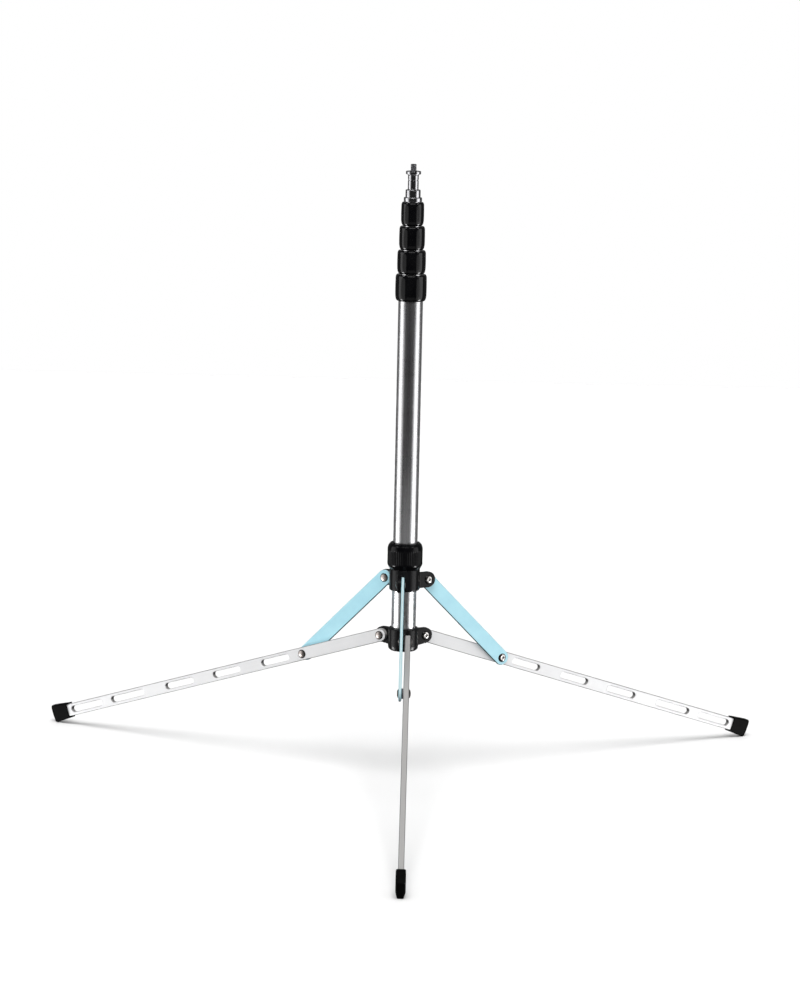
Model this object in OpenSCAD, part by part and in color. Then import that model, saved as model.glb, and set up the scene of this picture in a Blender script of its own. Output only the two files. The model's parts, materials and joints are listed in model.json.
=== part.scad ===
// Compact folding lighting stand: five telescoping tubes with twist locks, three flat
// slotted legs, and three struts that run from the legs to a clamped sliding hub.
// The origin is on the floor, on the column's axis. +Z is up and the front leg lies along -Y.

/* [Column] */
// Outside diameter of the lowest, fixed tube
main_tube_d = 26; // [25:0.5:27]
// Wall thickness of every tube
tube_wall = 1.2; // [1:0.1:1.3]
// Outside diameter lost from each tube to the next
section_step = 3; // [3:0.1:3.2]
// Radial gap between a tube and what slides or turns on it
running_gap = 0.05; // [0.02:0.01:0.1]

/* [Twist locks] */
// Height of the lowest twist collar
first_collar_h = 27.8; // [26:0.1:30]
// Height of each of the other twist collars
collar_h = 24.6; // [23:0.1:26]
// Radius of a collar beyond the tube that it sits on
collar_over_tube = 3.8; // [3.6:0.1:4.2]
// Gap between one closed collar and the next
collar_gap = 0.8; // [0.4:0.1:2]

/* [Spigot] */
// Diameter of the mounting spigot
spigot_d = 15.88; // [15:0.01:16]
// Diameter of the spigot's waist
waist_d = 11.3; // [10:0.1:12]
// Diameter of the small threaded stud on the spigot
stud_d = 6.35; // [6:0.05:7]
// Diameter of the flange that rests on the top tube
flange_d = 19.2; // [17:0.1:21]

/* [Hubs] */
// Distance from the column's axis to the hinge pins of both hubs
hinge_r = 25.4; // [25.2:0.1:27]
// Outside radius of both hub bodies
hub_r = 16.3; // [15.5:0.1:16.8]
// Radius of the eye at the end of each lug
eye_r = 8.5; // [8:0.1:9]
// Outside radius of the knurled lock ring
lock_ring_r = 18.8; // [17.5:0.1:19]
// Height of the upper hinge pins over the lower ones, with the stand open
hub_spacing = 62; // [60:0.5:64]

/* [Legs] */
// Slope of the open legs below the horizontal, in degrees
leg_slope = 19; // [18:0.5:20]
// Height of a leg's flat face
leg_h = 14; // [13:0.1:14.5]
// Thickness of a leg
leg_t = 6; // [5:0.1:6.2]
// Distance from the hinge pin to the outer end of the boot
leg_reach = 455; // [452:0.5:470]
// Distance from the hinge pin to the strut's pin
strut_at = 103; // [101:0.5:105]
// Height of the lightening slots
slot_h = 7.2; // [5:0.1:8]

/* [Struts] */
// Width of a strut
strut_w = 16.5; // [14:0.1:17]
// Thickness of a strut
strut_t = 3; // [2.5:0.1:3]

/* [Boots] */
// Width of a rubber boot across the leg
boot_w = 10; // [9:0.1:11]
// Height of a boot at its open end
boot_h_in = 17; // [16.5:0.1:18]
// Height of a boot at its closed end
boot_h_out = 20.4; // [19:0.1:21]
// Length of a boot
boot_len = 24.5; // [22:0.5:28]

/* [Hidden] */
$fn = 64;
eps = 0.01;
leg_names = ["front", "right", "left"];

// Slots along each leg: where one starts from the hinge pin, and its length.
slots = [[120.5, 38], [187.5, 38], [252.5, 40], [322.5, 48], [383.5, 45]];

// Heights above the lower hinge pins.
tube_foot = -12.6;
hub_top = 10.7;
hub_foot = -13.6;
collar_foot = 363.4;
slider_top = 75.2;
slider_foot = 51.8;
ring_top = 104.8;

// Layers across each leg, measured sideways from its radial plane.
lug_low = [-3.6, 1.9];
lug_high = [-7.4, -3.1];
strut_low = -3;
strut_high = strut_low + strut_t;
leg_low = 2;
leg_high = leg_low + leg_t;
pivot_gap = 0.15;

// Pins: sleeve nuts turn in the pieces, and their screws close them from the other side.
barrel_r = 3;
screw_r = 1.5;
head_r = 4.7;
head_h = 1.8;
slim_head_h = 1.4;
hex_af = 3;

// The lowest hinge height puts the boots' rounded lower corners on the floor.
boot_round = 2.5;
boot_corner_v = boot_h_out / 2 - boot_round;
pivot_z = (leg_reach - boot_round) * sin(leg_slope) + boot_corner_v * cos(leg_slope) + boot_round;

// The strut spans from the upper pin to the pin on the leg.
strut_run = strut_at * cos(leg_slope);
strut_drop = hub_spacing + strut_at * sin(leg_slope);
strut_len = sqrt(strut_run * strut_run + strut_drop * strut_drop);
strut_tilt = atan2(strut_drop, strut_run);

function tube_r(k) = main_tube_d / 2 - (k - 1) * section_step / 2;
function bore_r(k) = tube_r(k) - tube_wall;
function collar_r(k) = tube_r(k) + collar_over_tube;
function height_of(k) = k == 1 ? first_collar_h : collar_h;
function collar_z(k) = k == 1 ? collar_foot : collar_z(k - 1) + height_of(k - 1) + collar_gap;
function tube_top(k) = collar_z(k) + 0.58 * height_of(k);

// Guide plugs sit below the tubes that slide, each one above the plug of the tube around it.
plug_h = 28;
plug_insert = 10;
plug_wall = 1.6;
function plug_z(k) = k == 2 ? 2 : plug_z(k - 1) + plug_h + plug_insert + 2;

flange_z = collar_z(4) + collar_h + 0.6;
flange_h = 4.3;
land_h = 8.1;
waist_h = 16.3;
rim_h = 3.3;
stud_h = 7.3;

// ---- Placing ----

// Everything on the column is drawn from the lower hinge pins' height.
module at_pivots() {
    translate([0, 0, pivot_z]) children();
}

// Local X runs outwards along leg i's azimuth, local Y sideways, from the column's axis.
module azimuth(i) {
    rotate(120 * i - 90) children();
}

// Local X runs down leg i from its hinge pin.
module on_leg(i) {
    at_pivots() azimuth(i) translate([hinge_r, 0, 0]) rotate([0, leg_slope, 0]) children();
}

// Local X runs down strut i from its upper pin.
module on_strut(i) {
    at_pivots() azimuth(i) translate([hinge_r, 0, hub_spacing]) rotate([0, strut_tilt, 0]) children();
}

// A cylinder across the leg, from y0 to y1 sideways, centred on the local Y axis.
module across(y0, y1, r) {
    translate([0, y0, 0]) rotate([-90, 0, 0]) cylinder(r = r, h = y1 - y0);
}

// A tube along Z.
module pipe(z0, z1, r_out, r_in) {
    translate([0, 0, z0]) difference() {
        cylinder(r = r_out, h = z1 - z0);
        translate([0, 0, -1]) cylinder(r = r_in, h = z1 - z0 + 2);
    }
}

// ---- Shared shapes ----

// A flat bar with round ends about x = 0 and x = length.
module round_bar(length, width, y0, thickness) {
    translate([0, y0 + thickness, 0]) rotate([90, 0, 0]) linear_extrude(thickness) union() {
        circle(d = width);
        translate([length, 0]) circle(d = width);
        translate([0, -width / 2]) square([length, width]);
    }
}

// A low domed head on a shoulder, rising along +Z from z = 0.
module domed_head(height) {
    rotate_extrude() intersection() {
        translate([0, height - 3 * head_r]) circle(r = 3 * head_r);
        square([head_r, height]);
    }
}

// The sleeve nut of a pin: its head lies outside y0, and its barrel reaches in to y1.
module sleeve_nut(y0, y1, height) {
    difference() {
        union() {
            translate([0, y0, 0]) rotate([-90, 0, 0]) domed_head(height);
            across(y1, y0 + eps, barrel_r);
        }
        across(y1 - 1, y0 - 0.5, screw_r + running_gap);
    }
}

// The screw of a pin: its recessed head lies outside y0, and its shank reaches in to y1.
module socket_screw(y0, y1, r) {
    difference() {
        union() {
            translate([0, y0, 0]) rotate([90, 0, 0]) domed_head(head_h);
            across(y0 - eps, y1, r);
        }
        translate([0, y0 - 0.8, 0]) rotate([90, 0, 0]) cylinder(d = hex_af / cos(30), h = 3, $fn = 6);
    }
}

// The three lugs of a hub: flat arms with an eye, beside the leg or the strut that each holds.
module lugs(layer, drop) {
    arm_from = hub_r - 6;
    for (i = [0:2]) azimuth(i) difference() {
        translate([0, layer[1], 0]) rotate([90, 0, 0]) linear_extrude(layer[1] - layer[0]) union() {
            translate([hinge_r, 0]) circle(r = eye_r);
            translate([arm_from, -eye_r]) square([hinge_r - arm_from, 2 * eye_r]);
            polygon([[arm_from, -eye_r - drop], [arm_from, 0], [hinge_r, -eye_r], [hub_r + 2, -eye_r - drop]]);
        }
        translate([hinge_r, 0, 0]) across(layer[0] - 1, layer[1] + 1, barrel_r + running_gap);
    }
}

// A split, tapered ring that a turning collar squeezes onto the tube inside it.
module split_collet(z0, z1, r_in, r_out, slit) {
    difference() {
        translate([0, 0, z0]) difference() {
            cylinder(r1 = r_out, r2 = r_out - 0.7, h = z1 - z0, $fn = 64);
            translate([0, 0, -1]) cylinder(r = r_in, h = z1 - z0 + 2);
        }
        translate([r_in - 2, -slit / 2, z0 - 1]) cube([r_out - r_in + 4, slit, z1 - z0 + 2]);
    }
}

// ---- Fixed column ----

module main_tube() {
    color("silver") at_pivots() pipe(tube_foot, tube_top(1), tube_r(1), bore_r(1));
}

module column_plug() {
    color("dimgray") at_pivots() difference() {
        union() {
            translate([0, 0, tube_foot]) cylinder(r = bore_r(1) - 0.02, h = 12);
            translate([0, 0, hub_foot]) cylinder(r = tube_r(1) - 0.5, h = tube_foot - hub_foot - 0.02);
            translate([0, 0, hub_foot]) cylinder(r = bore_r(1) - 1, h = 4);
        }
        translate([0, 0, tube_foot + 2]) cylinder(r = bore_r(1) - plug_wall, h = 12);
    }
}

module lower_hub() {
    base_h = 4.9;
    color("#1b1b1c") at_pivots() difference() {
        union() {
            rotate_extrude() polygon([
                [0, hub_foot], [hub_r - 2.4, hub_foot], [hub_r - 0.6, hub_foot + 1.6],
                [hub_r, hub_foot + base_h], [hub_r, hub_top - 1], [hub_r - 1, hub_top], [0, hub_top]
            ]);
            lugs(lug_low, 1.2);
        }
        translate([0, 0, hub_foot - 1]) cylinder(r = tube_r(1) + 0.02, h = hub_top - hub_foot + 2);
    }
}

module leg_pivot_screws() {
    color("gainsboro") at_pivots() for (i = [0:2]) azimuth(i) translate([hinge_r, 0, 0])
        socket_screw(lug_low[0] - 0.05, leg_low + 3, screw_r);
}

module leg_pivot_nuts() {
    color("tan") at_pivots() for (i = [0:2]) azimuth(i) translate([hinge_r, 0, 0])
        sleeve_nut(leg_high + 0.1, lug_low[0] + 0.05, head_h);
}

// ---- Twist locks ----

// The fixed thread sleeve on the top of tube k, inside its collar.
module thread_sleeve(k) {
    sleeve_wall = 1.8;
    foot = collar_z(k) + 2.5;
    color("#2a2a2c") at_pivots() pipe(foot, tube_top(k), tube_r(k) + sleeve_wall, tube_r(k) + 0.02);
}

// The split collet over the top of tube k, round the tube that slides in it.
module collet(k) {
    color("whitesmoke") at_pivots() split_collet(
        tube_top(k) + 0.1, collar_z(k) + height_of(k) - 2.2,
        tube_r(k + 1) + running_gap, tube_r(k) + 1.2, 2
    );
}

// The barrel-shaped collar that turns on the thread sleeve and closes the collet.
module twist_collar(k) {
    r = collar_r(k);
    h = height_of(k);
    edge = 1.4;
    mid = tube_top(k) - collar_z(k) + 0.1;
    color("#0c0c0d") at_pivots() translate([0, 0, collar_z(k)]) rotate_extrude() polygon([
        [tube_r(k) + 0.35, 0], [r - edge - 0.9, 0], [r - 0.9, edge], [r - 0.25, h * 0.25],
        [r, h * 0.5], [r - 0.25, h * 0.75], [r - 0.8, h - edge], [r - edge - 0.6, h - 0.3],
        [r - edge - 1.2, h], [tube_r(k + 1) + 0.35, h], [tube_r(k + 1) + 0.35, h - 2],
        [tube_r(k) + 0.8, h - 2], [tube_r(k) + 1.45, mid], [tube_r(k) + 2, mid],
        [tube_r(k) + 2, 2.3], [tube_r(k) + 0.35, 2.3]
    ]);
}

// ---- Sliding sections ----

module section_tube(k) {
    top = k == 5 ? flange_z - 0.05 : tube_top(k);
    color("silver") at_pivots() pipe(plug_z(k) + plug_h, top, tube_r(k), bore_r(k));
}

// The plug that guides tube k's foot in the bore of the tube around it.
module guide_plug(k) {
    color("ivory") at_pivots() difference() {
        union() {
            translate([0, 0, plug_z(k)]) cylinder(r = bore_r(k - 1) - running_gap, h = plug_h - 0.02);
            translate([0, 0, plug_z(k) + 2]) cylinder(r = bore_r(k) - 0.02, h = plug_h + plug_insert - 2);
        }
        translate([0, 0, plug_z(k) - 1]) cylinder(r = bore_r(k) - plug_wall, h = plug_h + plug_insert + 2);
    }
}

module spigot() {
    r = spigot_d / 2;
    land_z = flange_z + flange_h;
    waist_z = land_z + land_h;
    rim_z = waist_z + waist_h;
    stud_z = rim_z + rim_h;
    groove_z = waist_z + 0.62 * waist_h;
    color("lightgray") at_pivots() rotate_extrude() polygon([
        [0, flange_z - 20], [bore_r(5) - 0.02, flange_z - 20], [bore_r(5) - 0.02, flange_z],
        [flange_d / 2 - 0.4, flange_z], [flange_d / 2, flange_z + 0.4],
        [flange_d / 2, land_z - 0.6], [flange_d / 2 - 0.6, land_z],
        [r, land_z], [r, waist_z - 0.8], [r - 0.8, waist_z], [waist_d / 2, waist_z],
        [waist_d / 2, groove_z - 0.4], [waist_d / 2 - 0.3, groove_z], [waist_d / 2, groove_z + 0.4],
        [waist_d / 2, rim_z - 0.6], [waist_d / 2 + 1, rim_z], [r, rim_z],
        [r, stud_z - 0.5], [r - 0.5, stud_z],
        [stud_d / 2 - 0.5, stud_z], [stud_d / 2 - 0.5, stud_z + 0.8], [stud_d / 2, stud_z + 1.2],
        [stud_d / 2, stud_z + stud_h - 0.7], [stud_d / 2 - 0.7, stud_z + stud_h], [0, stud_z + stud_h]
    ]);
}

// ---- Sliding hub ----

module slider_hub() {
    neck_top = ring_top - 12;
    color("#1b1b1c") at_pivots() difference() {
        union() {
            rotate_extrude() polygon([
                [0, slider_foot], [hub_r - 1.2, slider_foot], [hub_r, slider_foot + 1.2],
                [hub_r, slider_top], [tube_r(1) + 2.4, slider_top],
                [tube_r(1) + 2.4, neck_top], [0, neck_top]
            ]);
            translate([0, 0, hub_spacing]) lugs(lug_high, 0);
        }
        translate([0, 0, slider_foot - 1]) cylinder(r = tube_r(1) + running_gap, h = neck_top);
    }
}

module brake_collet() {
    color("whitesmoke") at_pivots() split_collet(
        ring_top - 11.9, ring_top - 4.2, tube_r(1) + running_gap, tube_r(1) + 2.3, 2
    );
}

module slider_lock_ring() {
    r = lock_ring_r;
    foot = slider_top + 0.3;
    lip_r = tube_r(1) + 0.4;
    color("#101011") at_pivots() rotate_extrude() polygon([
        [tube_r(1) + 2.7, foot], [r - 2.2, foot], [r - 0.3, foot + 3.6], [r, foot + 5],
        [r, ring_top - 8.6], [r - 0.4, ring_top - 7], [r - 1.9, ring_top - 2.6],
        [lip_r + 1.6, ring_top], [lip_r, ring_top], [lip_r, ring_top - 3.8],
        [tube_r(1) + 1.9, ring_top - 3.8], [tube_r(1) + 2.7, ring_top - 11.9]
    ]);
}

module strut_pivot_screws() {
    color("gainsboro") at_pivots() for (i = [0:2]) azimuth(i) translate([hinge_r, 0, hub_spacing])
        socket_screw(lug_high[0] - 0.05, strut_low + 1.5, screw_r);
}

module strut_pivot_nuts() {
    color("tan") at_pivots() for (i = [0:2]) azimuth(i) translate([hinge_r, 0, hub_spacing])
        sleeve_nut(strut_high + 0.05, lug_high[0] + 0.05, slim_head_h);
}

// ---- Legs ----

module leg(i) {
    bar_end = leg_reach - 5;
    color("#d8d9db") on_leg(i) difference() {
        union() {
            across(leg_low, leg_high, leg_h / 2);
            translate([0, leg_low, -leg_h / 2]) cube([bar_end, leg_t, leg_h]);
        }
        across(leg_low - 1, leg_high + 1, barrel_r + running_gap);
        translate([strut_at, 0, 0]) across(leg_low - 1, leg_high + 1, barrel_r + running_gap);
        for (s = slots) translate([s[0] + slot_h / 2, 0, 0])
            round_bar(s[1] - slot_h, slot_h, leg_low - 1, leg_t + 2);
    }
}

module boot(i) {
    mid_y = (leg_low + leg_high) / 2;
    inner = leg_reach - boot_len;
    play = 0.05;
    color("#161616") on_leg(i) difference() {
        translate([0, mid_y + boot_w / 2, 0]) rotate([90, 0, 0]) linear_extrude(boot_w) hull() {
            for (side = [-1, 1]) {
                translate([leg_reach - boot_round, side * boot_corner_v]) circle(r = boot_round, $fn = 48);
                translate([inner + 0.8, side * (boot_h_in / 2 - 0.8)]) circle(r = 0.8, $fn = 24);
            }
        }
        translate([inner - 1, leg_low - play, -leg_h / 2 - play])
            cube([boot_len - 4 + play, leg_t + 2 * play, leg_h + 2 * play]);
    }
}

// The head and barrel on the leg's side of the strut's lower pin.
module leg_nut(i) {
    color("tan") on_leg(i) translate([strut_at, 0, 0]) sleeve_nut(leg_high + 0.05, leg_low, head_h);
}

// ---- Struts ----

module strut(i) {
    color("#9fd6e6") on_strut(i) difference() {
        round_bar(strut_len, strut_w, strut_low, strut_t);
        across(strut_low - 1, strut_high + 1, barrel_r + running_gap);
        translate([strut_len, 0, 0]) across(strut_low - 1, strut_high + 1, barrel_r + running_gap);
    }
}

// The head and shank on the strut's side of its lower pin.
module strut_screw(i) {
    color("gainsboro") on_strut(i) translate([strut_len, 0, 0])
        socket_screw(strut_low - 0.05, leg_low - pivot_gap, barrel_r);
}

// The washer that holds the strut off the leg.
module strut_spacer(i) {
    color("dimgray") on_strut(i) translate([strut_len, 0, 0]) difference() {
        across(strut_high + 0.02, leg_low - pivot_gap, 5.5);
        across(strut_high - 1, leg_low + 1, barrel_r + running_gap);
    }
}

main_tube();
column_plug();
lower_hub();
leg_pivot_screws();
leg_pivot_nuts();
slider_hub();
brake_collet();
strut_pivot_screws();
strut_pivot_nuts();
slider_lock_ring();
for (i = [0:2]) {
    leg(i);
    boot(i);
    leg_nut(i);
    strut(i);
    strut_screw(i);
    strut_spacer(i);
}
for (k = [1:4]) {
    twist_collar(k);
    thread_sleeve(k);
    collet(k);
}
for (k = [2:5]) {
    section_tube(k);
    guide_plug(k);
}
spigot();
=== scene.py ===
"""Looks for the folding lighting stand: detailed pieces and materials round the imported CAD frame.

Lengths are in metres. +Z is up, the origin is on the floor under the column, the front leg
lies along -Y. A piece that belongs to a leg or a strut is drawn in that part's own frame:
X runs outwards along it, Y sideways across it.
"""

import json
import math

import bmesh
import bpy
import numpy as np
from mathutils import Matrix, Vector
from mathutils.geometry import tessellate_polygon

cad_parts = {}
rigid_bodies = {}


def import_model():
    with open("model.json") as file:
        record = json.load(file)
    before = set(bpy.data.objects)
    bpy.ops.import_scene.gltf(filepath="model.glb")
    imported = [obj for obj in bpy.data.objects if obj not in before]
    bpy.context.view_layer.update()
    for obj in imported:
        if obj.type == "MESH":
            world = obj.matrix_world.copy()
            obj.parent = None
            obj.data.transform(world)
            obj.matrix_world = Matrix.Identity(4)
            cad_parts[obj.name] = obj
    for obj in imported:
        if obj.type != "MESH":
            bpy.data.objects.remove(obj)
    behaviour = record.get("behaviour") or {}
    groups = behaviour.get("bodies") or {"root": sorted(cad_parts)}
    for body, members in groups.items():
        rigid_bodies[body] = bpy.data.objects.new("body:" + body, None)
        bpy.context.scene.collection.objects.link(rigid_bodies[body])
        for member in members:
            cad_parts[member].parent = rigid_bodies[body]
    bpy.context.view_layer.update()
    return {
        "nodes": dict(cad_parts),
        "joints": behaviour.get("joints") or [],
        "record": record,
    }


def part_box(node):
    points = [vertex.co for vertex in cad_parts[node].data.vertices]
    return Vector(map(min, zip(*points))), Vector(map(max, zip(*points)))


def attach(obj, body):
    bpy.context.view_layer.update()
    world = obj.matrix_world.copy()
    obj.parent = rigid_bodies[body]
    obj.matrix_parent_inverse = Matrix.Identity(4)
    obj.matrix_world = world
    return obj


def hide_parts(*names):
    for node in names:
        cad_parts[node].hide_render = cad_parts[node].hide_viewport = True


# The factory scene's cube, lamp and camera are no part of this one.
for leftover in list(bpy.data.objects):
    bpy.data.objects.remove(leftover, do_unlink=True)

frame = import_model()

MM = 0.001
# Points nearer to each other than this are one point.
SAME = 1e-7
SIDES = ("front", "right", "left")
JOINTS = {joint["name"]: joint for joint in frame["joints"]}
BODY_OF = {}
for body, members in frame["record"]["behaviour"]["bodies"].items():
    for member in members:
        BODY_OF[member] = body


# ---- Small shape library: a shape is (points, faces) ----


def merged(shapes):
    """Several shapes as one."""
    points = []
    faces = []
    for shape_points, shape_faces in shapes:
        start = len(points)
        points.extend(shape_points)
        faces.extend([tuple(start + i for i in face) for face in shape_faces])
    return points, faces


def moved(shape, matrix):
    """A shape carried by a 4x4 matrix."""
    points, faces = shape
    return [matrix @ Vector(p) for p in points], faces


def smooth_step(value, low, high):
    """0 below low, 1 above high, and smooth in between."""
    s = min(1.0, max(0.0, (value - low) / (high - low)))
    return s * s * (3 - 2 * s)


def rounded(corners, closed=True, steps=4):
    """A path of (x, y, radius) corners with each corner rounded, as (x, y) points."""
    longest_cut = 0.48
    path = []
    count = len(corners)
    for i, (x, y, radius) in enumerate(corners):
        here = Vector((x, y))
        at_end = not closed and i in (0, count - 1)
        if at_end or radius <= 0:
            path.append(here)
            continue
        before = Vector(corners[i - 1][:2]) - here
        after = Vector(corners[(i + 1) % count][:2]) - here
        shorter = min(before.length, after.length)
        if shorter < SAME:
            path.append(here)
            continue
        turn = math.pi - before.angle(after)
        cut = min(radius * math.tan(turn / 2), longest_cut * shorter)
        start = here + before.normalized() * cut
        end = here + after.normalized() * cut
        for step in range(steps + 1):
            s = step / steps
            path.append(start * (1 - s) ** 2 + here * 2 * s * (1 - s) + end * s * s)
    return [tuple(p) for p in path]


def lathe(profile, segments, radius_at=None):
    """A closed (r, z) profile turned about Z. radius_at(angle, r, z) may reshape the rings."""
    points = []
    rings = []
    for r, z in profile:
        if r < SAME:
            rings.append([len(points)] * segments)
            points.append((0.0, 0.0, z))
            continue
        rings.append(list(range(len(points), len(points) + segments)))
        for k in range(segments):
            angle = 2 * math.pi * k / segments
            reach = radius_at(angle, r, z) if radius_at else r
            points.append((reach * math.cos(angle), reach * math.sin(angle), z))
    faces = []
    for a, b in zip(rings, rings[1:] + rings[:1]):
        for k in range(segments):
            j = (k + 1) % segments
            corners = []
            for index in (a[k], a[j], b[j], b[k]):
                if index not in corners:
                    corners.append(index)
            if len(corners) > 2:
                faces.append(tuple(corners))
    return points, faces


def loft(rings):
    """Rings with equal numbers of points joined one to the next, and closed at both ends."""
    count = len(rings[0])
    points = [p for ring in rings for p in ring]
    faces = []
    for row in range(len(rings) - 1):
        for k in range(count):
            j = (k + 1) % count
            a = row * count
            faces.append((a + k, a + j, a + count + j, a + count + k))
    for row in (0, len(rings) - 1):
        points.append(sum((Vector(p) for p in rings[row]), Vector()) / count)
        for k in range(count):
            faces.append((row * count + k, row * count + (k + 1) % count, len(points) - 1))
    return points, faces


def stadium(x0, x1, radius, steps=24):
    """An outline function for a slot or round-ended bar: it takes how far to grow outwards."""

    def outline(grow):
        r = radius + grow
        path = []
        for centre, start in ((x1, -90), (x0, 90)):
            for step in range(steps + 1):
                angle = math.radians(start + 180 * step / steps)
                path.append((centre + r * math.cos(angle), r * math.sin(angle)))
        return path

    return outline


def bar_outline(length, half, steps=32):
    """The outline of a bar with a round end about x = 0 and a square end."""

    def outline(grow):
        r = half + grow
        path = [(length + grow, -r), (length + grow, r)]
        for step in range(steps + 1):
            angle = math.radians(90 + 180 * step / steps)
            path.append((r * math.cos(angle), r * math.sin(angle)))
        return path

    return outline


def disc(x, radius, steps=32):
    """The outline of a round hole."""

    def outline(grow):
        path = []
        for step in range(steps):
            angle = 2 * math.pi * step / steps
            r = radius + grow
            path.append((x + r * math.cos(angle), r * math.sin(angle)))
        return path

    return outline


def plate(outer, holes, y0, y1, edge, steps=3):
    """A flat plate in the XZ plane from y0 to y1, with every edge rounded."""
    points = []
    faces = []
    levels = []
    for step in range(steps + 1):
        phi = math.pi / 2 * step / steps
        levels.append((edge * (1 - math.sin(phi)), y0 + edge * (1 - math.cos(phi))))
    levels += [(inset, y0 + y1 - y) for inset, y in reversed(levels)]
    caps = {0: [], len(levels) - 1: []}
    for outline, sign in [(outer, -1)] + [(hole, 1) for hole in holes]:
        first = len(points)
        size = len(outline(0))
        for row, (inset, y) in enumerate(levels):
            ring = outline(sign * inset)
            if row in caps:
                caps[row].append((len(points), ring))
            points.extend([(x, y, z) for x, z in ring])
        for row in range(len(levels) - 1):
            for k in range(size):
                j = (k + 1) % size
                a = first + row * size
                faces.append((a + k, a + j, a + size + j, a + size + k))
    for loops in caps.values():
        index = [start + k for start, ring in loops for k in range(len(ring))]
        outlines = [[Vector((x, z, 0)) for x, z in ring] for start, ring in loops]
        for triangle in tessellate_polygon(outlines):
            faces.append(tuple(index[k] for k in triangle))
    return points, faces


def make_mesh(name, shape, sharp_deg):
    """A mesh with outward normals, smooth but for edges sharper than an angle."""
    mesh = bpy.data.meshes.new(name)
    points, faces = shape
    mesh.from_pydata([tuple(p) for p in points], [], faces)
    tidy = bmesh.new()
    tidy.from_mesh(mesh)
    bmesh.ops.remove_doubles(tidy, verts=tidy.verts, dist=SAME)
    bmesh.ops.recalc_face_normals(tidy, faces=tidy.faces)
    tidy.to_mesh(mesh)
    tidy.free()
    mesh.polygons.foreach_set("use_smooth", [True] * len(mesh.polygons))
    mesh.set_sharp_from_angle(angle=math.radians(sharp_deg))
    return mesh


def place(mesh, node, material, matrix=Matrix(), flat_faces=False):
    """Shows a mesh in the place of one CAD node, riding on that node's body."""
    piece = bpy.data.objects.new(f"{node}_visual", mesh)
    bpy.context.scene.collection.objects.link(piece)
    if not mesh.materials:
        mesh.materials.append(material)
    piece.matrix_world = matrix
    if flat_faces:
        shading = piece.modifiers.new("flat faces", "WEIGHTED_NORMAL")
        shading.keep_sharp = True
    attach(piece, BODY_OF[node])
    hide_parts(node)


def local_box(node, matrix):
    """The lowest and highest corner of a CAD node, seen in another frame."""
    inverse = np.array(matrix.inverted())
    points = np.array([v.co for v in frame["nodes"][node].data.vertices])
    seen = points @ inverse[:3, :3].T + inverse[:3, 3]
    return seen.min(0), seen.max(0)


# ---- Materials ----


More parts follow.
